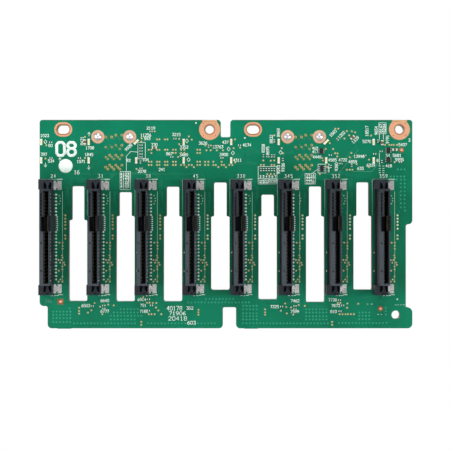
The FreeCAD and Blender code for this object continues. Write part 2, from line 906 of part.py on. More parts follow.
def populate(pieces, places):
    solids = []
    for bay, across, from_top, angle in places:
        for piece in pieces:
            solids.append(moved(turned(piece, angle), bay_x(bay) + across, 0, top - from_top))
    return solids


def all_resistors():
    places = list(resistors)
    bay, across, from_top = ladder_start
    places += [(bay, across, from_top + index * ladder_pitch, 0) for index in range(ladder_count)]
    bay, across, from_top = row_start
    places += [(bay, across + index * row_pitch, from_top, 90) for index in range(row_count)]
    return places


def lamp_places(from_top, slanted):
    across = lamp_first_from_left - first_bay_from_left
    places = []
    for bay in range(bay_count):
        angle = lamp_slant if bay in slanted else 90
        places.append((bay, across, from_top, angle))
    return places


def transistor_pieces():
    half_length = transistor_length / 2
    half_width = transistor_width / 2
    height = (transistor_gap, transistor_height)
    body = block((-half_length, half_length), height, (-half_width, half_width))
    leads = []
    first = -(transistor_leads - 1) * transistor_lead_pitch / 2
    for side in (-1, 1):
        for index in range(transistor_leads):
            x = first + index * transistor_lead_pitch
            across = (x - transistor_lead_width / 2, x + transistor_lead_width / 2)
            along = (side * half_width, side * (half_width + transistor_lead_reach))
            leads.append(block(across, (0, transistor_lead_height), along))
    return body, leads


# --- Write every node -----------------------------------------------------------------------------
os.makedirs("parts", exist_ok=True)

write("circuit_board", [circuit_board()])
write("screw_lands", screw_lands())
write("post_lands", post_lands())
write("post_solder", post_solder())

housing = socket_housing()
contacts = socket_contacts()
tabs = hold_down_tabs()
for bay in range(bay_count):
    name = "bay_%d" % bay
    x = bay_x(bay)
    write(name + "_socket_housing", [moved(housing, x, 0, socket_z)])
    write(name + "_socket_contacts", [moved(contact, x, 0, socket_z) for contact in contacts])
    write(name + "_socket_tabs", [moved(tab, x, 0, socket_z) for tab in tabs])

cage = cable_cage()
insulator = cable_insulator()
cable_blades = cable_contacts()
for index, side in enumerate(("left", "right")):
    x = left + cable_socket_from_left + index * cable_span
    z = top + cable_mouth_above_top
    name = side + "_cable_socket"
    write(name + "_cage", [moved(cage, x, rear_face, z)])
    write(name + "_insulator", [moved(insulator, x, rear_face, z)])
    write(name + "_contacts", [moved(blade, x, rear_face, z) for blade in cable_blades])

header_x, header_z = place(header_from_left, header_below_top)
write("power_header_shroud", [moved(power_header(), header_x, rear_face, header_z)])
write("power_header_pins", [moved(pin, header_x, rear_face, header_z) for pin in header_pins()])

controller_x, controller_z = place(board_width - controller_from_right, controller_below_top)
write("controller_body", [moved(controller_body(), controller_x, rear_face, controller_z)])
write("controller_leads", [moved(lead, controller_x, rear_face, controller_z) for lead in controller_leads()])

lamp, lamp_ends = two_terminal_part(lamp_length + 2 * lamp_terminal, lamp_width, lamp_height, lamp_terminal)
upper_lamps = lamp_places(upper_lamp_below_top, slanted_lamps)
lower_lamps = lamp_places(lower_lamp_below_top, ())
write("upper_lamps", populate([lamp], upper_lamps))
write("lower_lamps", populate([lamp], lower_lamps))
write("lamp_terminals", populate(lamp_ends, upper_lamps + lower_lamps))

chip, chip_ends = two_terminal_part(chip_length, chip_width, chip_height, chip_cap)
write("resistor_bodies", populate([chip], all_resistors()))
write("resistor_terminals", populate(chip_ends, all_resistors()))
capacitor, capacitor_ends = two_terminal_part(
    capacitor_length, capacitor_width, capacitor_height, capacitor_cap
)
write("capacitor_bodies", populate([capacitor], capacitors))
write("capacitor_terminals", populate(capacitor_ends, capacitors))
transistor, transistor_feet = transistor_pieces()
write("transistor_bodies", populate([transistor], transistors))
write("transistor_leads", populate(transistor_feet, transistors))
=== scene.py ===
import math

import bpy
import numpy as np
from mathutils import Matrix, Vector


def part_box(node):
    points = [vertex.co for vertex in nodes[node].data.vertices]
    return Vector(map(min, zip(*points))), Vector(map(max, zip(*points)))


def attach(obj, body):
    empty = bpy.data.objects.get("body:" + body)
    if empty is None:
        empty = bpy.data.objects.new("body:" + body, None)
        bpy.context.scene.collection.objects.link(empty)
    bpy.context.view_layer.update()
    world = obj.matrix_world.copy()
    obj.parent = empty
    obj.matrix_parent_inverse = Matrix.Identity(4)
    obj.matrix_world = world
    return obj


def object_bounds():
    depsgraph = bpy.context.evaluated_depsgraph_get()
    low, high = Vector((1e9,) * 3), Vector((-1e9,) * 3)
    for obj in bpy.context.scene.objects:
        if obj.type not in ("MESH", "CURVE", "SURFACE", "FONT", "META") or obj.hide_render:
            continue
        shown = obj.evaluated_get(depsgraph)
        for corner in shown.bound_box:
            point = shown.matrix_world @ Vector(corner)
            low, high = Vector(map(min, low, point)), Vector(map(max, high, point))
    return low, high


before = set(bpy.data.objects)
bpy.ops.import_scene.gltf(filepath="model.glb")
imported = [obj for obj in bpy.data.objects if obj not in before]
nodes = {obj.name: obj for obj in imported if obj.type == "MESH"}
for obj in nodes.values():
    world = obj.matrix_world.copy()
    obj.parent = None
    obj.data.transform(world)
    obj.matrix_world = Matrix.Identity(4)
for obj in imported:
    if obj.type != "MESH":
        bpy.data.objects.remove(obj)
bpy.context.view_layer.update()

boardLow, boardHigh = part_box("circuit_board")
rearFace = boardHigh.y
boardLeft = boardLow.x
boardTop = boardHigh.z
bayCount = 8

# The middles of the drive slots, from the housings: the raised body's left flange is wider.
housingBoxes = [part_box("bay_%d_socket_housing" % bay) for bay in range(bayCount)]
slotToLeft = 0.00362
socketX = np.array([low.x + slotToLeft for low, high in housingBoxes])
socketZ = (housingBoxes[0][0].z + housingBoxes[0][1].z) / 2
socketHalf = (housingBoxes[0][1].z - housingBoxes[0][0].z) / 2


def linear(code):
    parts = [int(code[index:index + 2], 16) / 255 for index in (1, 3, 5)]
    return tuple(p / 12.92 if p <= 0.04045 else ((p + 0.055) / 1.055) ** 2.4 for p in parts) + (1.0,)


def addNode(tree, kind, inputs=None, **settings):
    made = tree.nodes.new(kind)
    for name, value in settings.items():
        setattr(made, name, value)
    for key, value in (inputs or {}).items():
        socket = made.inputs[key]
        if isinstance(value, bpy.types.NodeSocket):
            tree.links.new(value, socket)
        else:
            socket.default_value = value
    return made


def newMaterial(name, colour, roughness, metallic=0.0, **settings):
    material = bpy.data.materials.new(name)
    material.use_nodes = True
    tree = material.node_tree
    shader = tree.nodes["Principled BSDF"]
    shader.inputs["Base Color"].default_value = linear(colour)
    shader.inputs["Roughness"].default_value = roughness
    shader.inputs["Metallic"].default_value = metallic
    for key, value in settings.items():
        shader.inputs[key.replace("_", " ")].default_value = value
    return material, tree, shader


def millimetres(tree, scale=(1.0, 1.0, 1.0)):
    # Object coordinates in millimetres.
    place = addNode(tree, "ShaderNodeTexCoord")
    return addNode(tree, "ShaderNodeVectorMath", {0: place.outputs["Object"], 1: tuple(1000 * s for s in scale)},
                   operation="MULTIPLY").outputs[0]


def noise(tree, vector, perMillimetre, detail=3.0, rough=0.55):
    return addNode(tree, "ShaderNodeTexNoise", {"Vector": vector, "Scale": perMillimetre, "Detail": detail,
                                                "Roughness": rough}).outputs["Fac"]


def ramp(tree, value, low, high, fromLow=0.0, fromHigh=1.0):
    return addNode(tree, "ShaderNodeMapRange", {"Value": value, "From Min": fromLow, "From Max": fromHigh,
                                                "To Min": low, "To Max": high}).outputs["Result"]


def blend(tree, factor, first, tailPlatingShadeColour):
    return addNode(tree, "ShaderNodeMix", {0: factor, 6: first, 7: tailPlatingShadeColour}, data_type="RGBA").outputs[2]


def maths(tree, operation, *values):
    return addNode(tree, "ShaderNodeMath", dict(enumerate(values)), operation=operation).outputs[0]


def bump(tree, shader, height, distance, strength=1.0):
    made = addNode(tree, "ShaderNodeBump", {"Height": height, "Distance": distance, "Strength": strength})
    tree.links.new(made.outputs["Normal"], shader.inputs["Normal"])


# The band tone, with where it starts and ends and how strongly it shows, is painted light on the bands above and
# below the arms.
maskLook = {"light": "#0a7b59", "deep": "#0b5d42", "fleck": "#053927", "paintedLightBand": "#0e8a68", "edge": "#544722",
            "edgeDark": "#2f2914", "roughness": 0.36, "weavePitch": 0.52, "layerPitch": 0.4, "cloud": 0.06,
            "middle": -35.4, "paintedLightStart": 20.0, "paintedLightEnd": 28.0, "paintedLightShare": 0.34}


def solderMask():
    # Green lacquer over glass cloth; the cut walls of the board show the layered laminate.
    material, tree, shader = newMaterial("solderMaskOnLaminate", maskLook["light"], maskLook["roughness"],
                                         Specular_IOR_Level=0.15)
    light, deep, fleck, paintedLightBand, edge, edgeDark = [
        linear(maskLook[name]) for name in ("light", "deep", "fleck", "paintedLightBand", "edge", "edgeDark")]
    place = millimetres(tree)
    parts = addNode(tree, "ShaderNodeSeparateXYZ", {0: place}).outputs
    cloud = noise(tree, place, maskLook["cloud"], 2.0)
    fine = noise(tree, place, 1.6, 4.0)
    tone = blend(tree, ramp(tree, cloud, 0.05, 0.75, 0.3, 0.7), light, deep)
    tone = blend(tree, ramp(tree, fine, 0.0, 0.16), tone, fleck)
    # Painted light: the bands above and below the arms are painted a lighter tone, standing in for the shade the
    # sockets cast on the arms between them.
    away = maths(tree, "ABSOLUTE", maths(tree, "SUBTRACT", parts[2], maskLook["middle"]))
    share = ramp(tree, away, 0.0, maskLook["paintedLightShare"], maskLook["paintedLightStart"], maskLook["paintedLightEnd"])
    tone = blend(tree, share, tone, paintedLightBand)
    turn = 2 * math.pi / maskLook["weavePitch"]
    warp = maths(tree, "SINE", maths(tree, "MULTIPLY", parts[0], turn))
    weft = maths(tree, "SINE", maths(tree, "MULTIPLY", parts[2], turn))
    weave = maths(tree, "MULTIPLY", warp, weft)
    stripes = maths(tree, "SINE", maths(tree, "MULTIPLY", parts[1], 2 * math.pi / maskLook["layerPitch"]))
    wall = blend(tree, ramp(tree, stripes, 0.1, 0.9, -1.0, 1.0), edge, edgeDark)
    facing = addNode(tree, "ShaderNodeNewGeometry").outputs["Normal"]
    across = addNode(tree, "ShaderNodeSeparateXYZ", {0: facing}).outputs[1]
    face = maths(tree, "GREATER_THAN", maths(tree, "ABSOLUTE", across), 0.5)
    tree.links.new(blend(tree, face, wall, tone), shader.inputs["Base Color"])
    tree.links.new(ramp(tree, fine, 0.24, 0.42), shader.inputs["Roughness"])
    bump(tree, shader, weave, 0.000006, 0.35)
    return material


def trackMask(name, light, deep):
    # The same lacquer where it covers copper, lighter.
    material, tree, shader = newMaterial(name, light, 0.33, Specular_IOR_Level=0.2)
    grain = noise(tree, millimetres(tree), 2.0)
    tree.links.new(blend(tree, ramp(tree, grain, 0.0, 1.0, 0.3, 0.7), linear(light), linear(deep)),
                   shader.inputs["Base Color"])
    return material


def metal(name, colour, dark, roughness, grainScale, metallic=1.0, depth=0.00001, tailPlatingAndShade=None):
    material, tree, shader = newMaterial(name, colour, roughness, metallic)
    place = millimetres(tree)
    grain = noise(tree, place, grainScale, 5.0)
    broad = noise(tree, place, grainScale * 0.12, 2.0)
    shade = blend(tree, ramp(tree, grain, 0.0, 0.55, 0.25, 0.8), linear(colour), linear(dark))
    shade = blend(tree, ramp(tree, broad, 0.0, 0.35, 0.3, 0.8), shade, linear(dark))
    if tailPlatingAndShade:
        # Nearer the board than these two distances the plating is another one, and it is painted dim for the shade
        # near the board.
        tailPlatingShadeColour, start, end = tailPlatingAndShade
        depthBack = addNode(tree, "ShaderNodeSeparateXYZ", {0: place}).outputs[1]
        shade = blend(tree, ramp(tree, depthBack, 0.0, 1.0, start, end), shade, linear(tailPlatingShadeColour))
    tree.links.new(shade, shader.inputs["Base Color"])
    tree.links.new(ramp(tree, grain, roughness * 0.75, roughness * 1.3), shader.inputs["Roughness"])
    bump(tree, shader, grain, depth, 0.5)
    return material


# Where the painted light on the foremost faces fades out, in millimetres: by depth and by height.
paintedFaceLightLook = {"share": 0.75, "depth": (-9.0, -8.75), "height": (-39.5, -36.5), "above": 0.2}


def plastic(name, colour, worn, roughness, grainScale, depth=0.00001, shine=0.3, paintedFaceLight=None):
    material, tree, shader = newMaterial(name, colour, roughness, Specular_IOR_Level=shine)
    place = millimetres(tree)
    grain = noise(tree, place, grainScale, 6.0, 0.65)
    flow = noise(tree, millimetres(tree, (1.0, 1.0, 0.15)), grainScale * 0.35, 3.0)
    shade = blend(tree, ramp(tree, grain, 0.0, 0.7, 0.45, 0.9), linear(colour), linear(worn))
    shade = blend(tree, ramp(tree, flow, 0.0, 0.4, 0.4, 0.8), shade, linear(worn))
    if paintedFaceLight:
        # Painted light: the foremost faces are painted paler, more below the sockets' middle, standing in for the
        # light that falls on them.
        parts = addNode(tree, "ShaderNodeSeparateXYZ", {0: place}).outputs
        front = ramp(tree, parts[1], paintedFaceLightLook["share"], 0.0, *paintedFaceLightLook["depth"])
        lower = ramp(tree, parts[2], 1.0, paintedFaceLightLook["above"], *paintedFaceLightLook["height"])
        shade = blend(tree, maths(tree, "MULTIPLY", front, lower), shade, linear(paintedFaceLight))
    tree.links.new(shade, shader.inputs["Base Color"])
    tree.links.new(ramp(tree, grain, roughness * 0.8, min(1.0, roughness * 1.25)), shader.inputs["Roughness"])
    bump(tree, shader, grain, depth, 0.4)
    return material


def ink(name, colour, other):
    material, tree, shader = newMaterial(name, colour, 0.55)
    worn = noise(tree, millimetres(tree), 5.0, 4.0)
    tree.links.new(blend(tree, ramp(tree, worn, 0.0, 0.6, 0.45, 0.8), linear(colour), linear(other)),
                   shader.inputs["Base Color"])
    return material


def lampResin():
    material, tree, shader = newMaterial("castLampResin", "#e9e6c4", 0.3, Subsurface_Weight=0.25,
                                         Subsurface_Scale=0.0004)
    spot = noise(tree, millimetres(tree), 1.4, 2.0)
    tree.links.new(blend(tree, ramp(tree, spot, 0.0, 0.6), linear("#eeecce"), linear("#d8d196")),
                   shader.inputs["Base Color"])
    return material


maskPaint = solderMask()
trackPaint = trackMask("solderMaskOnCopper", "#148561", "#0d7756")
tentPaint = trackMask("solderMaskOnVias", "#3aa584", "#238d6b")
# Metals: light and dark colour, roughness, grain per millimetre, metallic share, bump in metres.
copper = metal("rolledCopper", "#f0b38e", "#dd9e78", 0.45, 1.2, 0.35)
solder = metal("reflowedSolder", "#f6fffb", "#dcf2e8", 0.3, 2.4, 0.1)
gold = metal("goldFlashedBronze", "#8f8058", "#574a30", 0.48, 3.0)
# Near the board the contacts take a dim grey-green: another plating, darkened as painted shade.
sprung = metal("goldTippedContact", "#8f8058", "#574a30", 0.48, 3.0, 0.8, 0.00001, ("#6f8379", -1.3, -1.0))
tin = metal("matteTinPlate", "#faf8f4", "#a8a5a0", 0.3, 1.3, 0.75, 0.0003)
nickel = metal("nickelPlatedSheet", "#c9cac8", "#9c9d9b", 0.3, 1.5)
# Its last colour is the painted light on the foremost faces of the socket housings.
glassFilled = plastic("glassFilledPlastic", "#282d33", "#393f46", 0.55, 2.2, 0.00001, 0.12, "#4b5259")
rearPlastic = plastic("mouldedBlackPlastic", "#26282b", "#33363a", 0.5, 1.8)
chipResin = plastic("chipResin", "#1c1e20", "#2c2f31", 0.55, 3.5)
firedCeramic = plastic("firedCeramic", "#7b5a3c", "#8f6d4b", 0.5, 4.0)
lampPaint = lampResin()
legendInk = ink("legendInk", "#f2fff8", "#d2efe2")
faintInk = ink("faintLegendInk", "#5f9f88", "#468a70")
mintInk = ink("thinLegendInk", "#bfe8d3", "#9fd6bb")
viaMetal = metal("viaRingCopper", "#b3a562", "#8f8148", 0.42, 4.0, 0.2)
viaFill = metal("viaCapSolder", "#dce4c6", "#b2bd98", 0.4, 5.0, 0.2)
viaGold = metal("fieldRingCopper", "#d9c07f", "#b3995a", 0.45, 4.0, 0.25)
viaTan = metal("fieldCapCopper", "#95955f", "#7c7c4a", 0.5, 4.0, 0.15)
viaBare = metal("bareRingCopper", "#5f9068", "#4c7c55", 0.5, 4.0, 0.1)
viaCream = metal("agedCapSolder", "#e9f2cf", "#cbd9a4", 0.36, 3.0, 0.15)
boreDark = ink("viaBoreShade", "#123a26", "#0d2c1d")
boreBrown = ink("platedBoreShade", "#5f6b3c", "#4b5630")
bareLaminate = ink("bareLaminate", "#ab7647", "#8f6138")
paleLaminate = ink("sawnLaminate", "#d6a676", "#c08d5c")
fiducialCopper = metal("fiducialCopper", "#fbd2b0", "#e9b48c", 0.35, 2.0, 0.2)
fiducialResin = ink("fiducialResin", "#a8623a", "#8e4d2c")
# The near-white tone of the contact shoulders is a painted glint.
shoulderTinAndGlint = metal("tinnedShoulderAndGlint", "#e4f2ea", "#b7c9bf", 0.35, 2.0, 0.2)
edgeResin = ink("edgeResin", "#4f6a2e", "#435a28")
landDot = ink("landDotOxide", "#a4603f", "#8c4e31")
postSolder = metal("waveSolder", "#fbfbff", "#b4b9c8", 0.28, 1.1, 0.8, 0.0002)
postCopper = metal("platedPostLand", "#e6bc9f", "#d0a283", 0.45, 1.2, 0.3)
tabTin = metal("tinnedTab", "#ffffff", "#4e4b49", 0.28, 0.9, 0.7, 0.0004)

nodeLooks = {
    "circuit_board": maskPaint, "screw_lands": copper, "post_lands": postCopper, "post_solder": postSolder,
    "cage": nickel, "insulator": rearPlastic, "cable_socket_contacts": gold, "power_header_shroud": rearPlastic,
    "power_header_pins": tin, "controller_body": chipResin, "controller_leads": tin, "upper_lamps": lampPaint,
    "lower_lamps": lampPaint, "lamp_terminals": solder, "resistor_bodies": chipResin,
    "resistor_terminals": solder, "capacitor_bodies": firedCeramic, "capacitor_terminals": solder,
    "transistor_bodies": chipResin, "transistor_leads": tin, "socket_housing": glassFilled,
    "socket_contacts": sprung, "socket_tabs": tabTin,
}
for nodeName, thing in nodes.items():
    look = next(nodeLooks[key] for key in nodeLooks if nodeName == key or nodeName.endswith(key))
    thing.data.materials.clear()
    thing.data.materials.append(look)
print("materials")


def prism(outline, near, far):
    # A closed prism: outline anticlockwise as seen from the drive side, from y = near to y = far.
    outline = np.asarray(outline, float)
    count = len(outline)
    points = np.zeros((2 * count, 3))
    points[:, 0] = np.tile(outline[:, 0], 2)
    points[:, 2] = np.tile(outline[:, 1], 2)
    points[:count, 1] = near
    points[count:, 1] = far
    here = np.arange(count)
    after = np.roll(here, -1)
    sides = np.stack((here, here + count, after + count, after), 1)
    return points, [here[None], (here[::-1] + count)[None], sides]


def turnedShape(profile, sides, stretch=1.0):
    # A solid of revolution about Y from (radius, y) pairs, running from the back to the front.
    profile = np.asarray(profile, float)
    angle = np.arange(sides) * 2 * math.pi / sides
    radius = profile[:, 0][:, None]
    points = np.stack((radius * np.cos(angle) * stretch, np.repeat(profile[:, 1][:, None], sides, 1),
                       radius * np.sin(angle)), -1).reshape(-1, 3)
    ring = np.arange(sides)
    level = np.arange(len(profile) - 1)[:, None] * sides
    after = np.roll(ring, -1)
    quads = np.stack((level + ring, level + after, level + after + sides, level + ring + sides), -1).reshape(-1, 4)
    return points, [quads, ring[::-1][None], (ring + (len(profile) - 1) * sides)[None]]


def disc(radius, near, far, sides):
    return turnedShape(((radius, far), (radius, near)), sides)


def circle(radius, sides):
    angle = np.arange(sides) * 2 * math.pi / sides
    return radius * np.stack((np.cos(angle), np.sin(angle)), 1)


def pill(length, width, steps=12):
    # The outline of a long hole: two half circles joined by straight sides.
    turn = np.radians(np.linspace(-90, 90, steps))
    side = width / 2 * np.stack((np.cos(turn), np.sin(turn)), 1) + ((length - width) / 2, 0)
    return np.vstack((side, -side))


def band(inner, outer, near, far):
    # A flat ring between two outlines with as many points each.
    points = [np.stack((outline[:, 0], np.full(len(outline), y), outline[:, 1]), 1)
              for outline, y in ((outer, far), (outer, near), (inner, near), (inner, far))]
    count = len(outer)
    place = np.arange(count)
    after = np.roll(place, -1)
    level = np.arange(4)[:, None] * count
    upper = (np.arange(4)[:, None] + 1) % 4 * count
    quads = np.stack((level + place, level + after, upper + after, upper + place), -1).reshape(-1, 4)
    return np.concatenate(points), [quads]


def washer(inner, outer, near, far, sides):
    return band(circle(inner, sides), circle(outer, sides), near, far)


def dome(across, along, height, sides=12, base=0.0):
    # A low pillow: half an ellipse turned about Y and stretched.
    lift = np.radians((0, 30, 58, 80))
    profile = np.stack((along / 2 * np.cos(lift), base - height * np.sin(lift)), 1)
    return turnedShape(profile, sides, across / along)


def stamp(shape, places, angles=0.0):
    # Copies a shape to (x, z) places, each turned by its angle in degrees.
    points, faceSets = shape
    places = np.asarray(places, float).reshape(-1, 2)
    turn = np.radians(np.broadcast_to(angles, len(places)))[:, None]
    x = points[:, 0] * np.cos(turn) - points[:, 2] * np.sin(turn) + places[:, :1]
    z = points[:, 0] * np.sin(turn) + points[:, 2] * np.cos(turn) + places[:, 1:]
    y = np.broadcast_to(points[:, 1], x.shape)
    shift = np.arange(len(places))[:, None, None] * len(points)
    copies = [(faces[None] + shift).reshape(-1, faces.shape[1]) for faces in faceSets]
    return np.stack((x, y, z), -1).reshape(-1, 3), copies


def onRear(shape):
    # The same relief on the rear face.
    points, faceSets = shape
    points = points.copy()
    points[:, 1] = rearFace - points[:, 1]
    return points, [faces[:, ::-1] for faces in faceSets]


def strokes(segments, width, near, far, roundEnds=True):
    # A thin bar along each (x, z, x, z) segment.
    segments = np.asarray(segments, float).reshape(-1, 4)
    start, end = segments[:, :2], segments[:, 2:]
    along = end - start
    along /= np.maximum(np.linalg.norm(along, axis=1, keepdims=True), 1e-9)
    beside = np.stack((-along[:, 1], along[:, 0]), 1)
    if roundEnds:
        angle = np.radians((-90, -30, 30, 90, 90, 150, 210, 270))
        atEnd = np.array((1, 1, 1, 1, 0, 0, 0, 0))
    else:
        angle = np.radians((-90, 90, 90, 270))
        atEnd = np.array((1, 1, 0, 0))
    base = start[:, None] + (end - start)[:, None] * atEnd[None, :, None]
    flat = base + width / 2 * (along[:, None] * np.cos(angle)[None, :, None]
                               + beside[:, None] * np.sin(angle)[None, :, None])
    count = len(angle)
    points = np.zeros((len(segments), 2 * count, 3))
    points[:, :, 0] = np.tile(flat[:, :, 0], (1, 2))
    points[:, :, 2] = np.tile(flat[:, :, 1], (1, 2))
    # Strokes that cross lie a micrometre apart.
    points[:, :count, 1] = near - 0.000001 * (np.arange(len(segments)) % 9)[:, None]
    points[:, count:, 1] = far
    faceSets = prism(np.zeros((count, 2)), 0, 0)[1]
    shift = np.arange(len(segments))[:, None, None] * 2 * count
    return points.reshape(-1, 3), [(faces[None] + shift).reshape(-1, faces.shape[1]) for faces in faceSets]


def joined(shapes):
    points, faceSets, start = [], [], 0
    for shapePoints, shapeFaces in shapes:
        points.append(shapePoints)
        faceSets += [faces + start for faces in shapeFaces]
        start += len(shapePoints)
    return np.concatenate(points), faceSets


def addPiece(name, shapes, material):
    points, faceSets = joined(shapes)
    corners = np.concatenate([faces.ravel() for faces in faceSets]).astype(np.int32)
    sizes = np.concatenate([np.full(len(faces), faces.shape[1]) for faces in faceSets])
    mesh = bpy.data.meshes.new(name)
    mesh.vertices.add(len(points))
    mesh.vertices.foreach_set("co", points.astype(np.float32).ravel())
    mesh.loops.add(len(corners))
    mesh.loops.foreach_set("vertex_index", corners)
    mesh.polygons.add(len(sizes))
    mesh.polygons.foreach_set("loop_start", (np.cumsum(sizes) - sizes).astype(np.int32))
    mesh.update(calc_edges=True)
    mesh.materials.append(material)
    thing = bpy.data.objects.new(name, mesh)
    bpy.context.scene.collection.objects.link(thing)
    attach(thing, "root")
    return thing


def onBoard(places):
    # Distances in millimetres from the board's left and top edges, to x and z.
    places = np.asarray(places, float)
    result = np.empty_like(places)
    result[:, 0::2] = boardLeft + places[:, 0::2] / 1000
    result[:, 1::2] = boardTop - places[:, 1::2] / 1000
    return result


def bySocket(places):
    # Distances in millimetres from the middle of a drive slot, repeated for every bay.
    places = np.asarray(places, float) / 1000
    width = places.shape[1]
    origin = np.zeros((len(socketX), 1, width))
    origin[:, 0, 0::2] = socketX[:, None]
    origin[:, 0, 1::2] = socketZ
    return (places[None] + origin).reshape(-1, width)


glyphs = {
    "0": (((0, 1), (1, 0), (3, 0), (4, 1), (4, 5), (3, 6), (1, 6), (0, 5), (0, 1)),),
    "1": (((0.8, 4.8), (2, 6), (2, 0)), ((1, 0), (3, 0))),
    "2": (((0, 5), (1, 6), (3, 6), (4, 5), (4, 4), (0, 0), (4, 0)),),
    "3": (((0, 6), (4, 6), (2, 3.6), (3, 3.6), (4, 2.6), (4, 1), (3, 0), (1, 0), (0, 1)),),
    "4": (((3, 0), (3, 6), (0, 2), (4, 2)),),
    "5": (((4, 6), (0, 6), (0, 3.4), (3, 3.6), (4, 2.6), (4, 1), (3, 0), (0, 0)),),
    "6": (((3.4, 6), (1, 5), (0, 3), (0, 1), (1, 0), (3, 0), (4, 1), (4, 2.4), (3, 3.4), (0, 3)),),
    "7": (((0, 6), (4, 6), (1.4, 0)),),
    "8": (((1, 3.2), (0, 4.2), (0, 5), (1, 6), (3, 6), (4, 5), (4, 4.2), (3, 3.2), (1, 3.2)),
          ((1, 3.2), (0, 2.2), (0, 1), (1, 0), (3, 0), (4, 1), (4, 2.2), (3, 3.2))),
    "9": (((0.6, 0), (3, 1), (4, 3), (4, 5), (3, 6), (1, 6), (0, 5), (0, 3.6), (1, 2.6), (4, 3)),),
}


def numberStrokes(text, x, below, degrees, height=1.02, spread=1.0, gap=0.24):
    # The segments of a plain number centred at (x, below), in millimetres from the board's corner.
    unit = height / 6
    wide = unit * 0.84 * spread
    pitch = wide * 4 + height * gap * spread
    turn = math.radians(degrees)
    segments = []
    for place, digit in enumerate(text):
        shift = (place - (len(text) - 1) / 2) * pitch
        for line in glyphs[digit]:
            for (ax, az), (bx, bz) in zip(line, line[1:]):
                ends = []
                for px, pz in ((ax, az), (bx, bz)):
                    u = shift + (px - 2) * wide
                    v = (pz - 3) * unit
                    ends += [x + u * math.cos(turn) - v * math.sin(turn),
                             below - u * math.sin(turn) - v * math.cos(turn)]
                segments.append(ends)
    return segments


# Relief on the board starts this far inside its face.
sunk = 0.00001

# Printed legends: faces and widths in metres, heights in millimetres.
legend = {"near": -0.00003, "textWidth": 0.00017, "bayWidth": 0.00013, "rowWidth": 0.00019, "faintWidth": 0.00012,
          "lineWidth": 0.00015, "socketWidth": 0.0002, "hairWidth": 0.00009, "sideWidth": 0.00012, "bayHeight": 1.2,
          "bayBelow": 21.05, "bigHeight": 4.9, "bigWidth": 0.00105, "discRadius": 0.0026, "dotRadius": 0.00028}


def printed(segments, width):
    return strokes(segments, width, legend["near"], sunk)


# All places on the board are in millimetres from its left and top edges.
# Each label: from left, below top, how many digits, angle.
labels = (
    (1.9, 5.9, 4, 0), (4.1, 9.6, 2, 0), (1.6, 12.9, 3, 0),
    (4.3, 15.4, 3, 0), (15.5, 15.6, 4, 0), (18.8, 10.5, 4, 0), (18.5, 13, 4, 0),
    (33.3, 15.2, 2, 0), (41.7, 3.1, 4, 0), (39.8, 5.7, 5, 0), (40.3, 7, 3, 0), (43, 9.3, 3, 0),
    (48.6, 12.7, 3, 0), (39.7, 14.9, 3, 0), (45.8, 18.6, 3, 0), (38.3, 19.3, 4, 0),
    (51.2, 5.5, 4, 0), (54.1, 10.2, 4, 0), (54, 13.1, 4, 0), (61.2, 8.7, 4, 0),
    (67.2, 10.1, 4, 0), (69, 13, 4, 0), (69.6, 8.4, 3, 0), (77.7, 9.4, 4, 0),
    (74.1, 15.1, 4, 0), (103.9, 13.9, 4, 0), (109.7, 15, 4, 0), (113.6, 15, 4, 0),
    (117.3, 15.7, 4, 0), (119.7, 13.7, 5, 0), (120.2, 18.2, 3, 0), (122.6, 8.1, 4, 0),
    (136, 9.3, 4, 0), (130.5, 13.3, 2, 0), (133.9, 13.3, 4, 0), (130.8, 17.2, 3, 0),
    (134.8, 14.9, 4, 0), (126.6, 15.2, 1, 0), (124.1, 17, 4, 0), (138.5, 7.6, 1, 0),
    (17.3, 69.6, 4, 0), (24.4, 67.7, 4, 0), (24.4, 71.7, 4, 0), (38.3, 67.3, 4, 0),
    (38.8, 69.5, 3, 0), (39.1, 71.7, 4, 0), (88, 70, 4, 0), (95.7, 67.8, 4, 0),
    (95.6, 71.8, 4, 0), (109.8, 67.4, 4, 0), (110.9, 69.6, 4, 0), (110.1, 71.8, 3, 0),
    (127.9, 3.15, 4, 90), (129.1, 3.15, 4, 90), (15.9, 7.9, 4, 90), (83.8, 10.7, 4, 90), (85.4, 11.6, 4, 90),
    (86.8, 7.2, 4, 90), (89.5, 4.8, 4, 90), (91.2, 17.8, 4, 90), (89.5, 18.6, 4, 90),
    (111.2, 17.6, 4, 90), (122.6, 4.2, 5, 90), (126.1, 4, 4, 90), (130.3, 7.3, 4, 90),
    (33.3, 10.3, 4, 45), (109.9, 5, 4, 45), (113.1, 5.6, 4, 45), (118.3, 7.5, 4, 45),
)
# The number on each label is made up from its place in the list.
labelStep = 137
labelStart = 23
textLines = []
for index, (x, below, digits, degrees) in enumerate(labels):
    smallest = 10 ** (digits - 1)
    number = smallest + (index * labelStep + labelStart) % (9 * smallest)
    textLines += numberStrokes(str(number), x, below, degrees)
bayLines = []
for bay in range(bayCount):
    text, shift = (str(24 + 7 * bay), 1.1) if bay < 4 else (str(310 + 7 * bay), 0.35)
    bayLines += numberStrokes(text, 1000 * (socketX[bay] - boardLeft) + shift, legend["bayBelow"], 0,
                              legend["bayHeight"], 0.82, 0.6)
textLines += numberStrokes("16", 13.9, 19.6, 0, 1.4)
# Larger numbers at the bottom: text, from left, below top, height, spread.
largeRows = (("40178", 50.5, 70.6, 1.5, 1.0), ("352", 56.3, 70.5, 1.1, 1.0), ("71906", 51.6, 72.5, 1.25, 1.3),
             ("20418", 51.7, 74.4, 1.4, 1.3), ("603", 56.9, 76.0, 1.15, 1.2))
rowLines = []
for text, x, below, height, spread in largeRows:
    rowLines += numberStrokes(text, x, below, 0, height, spread)
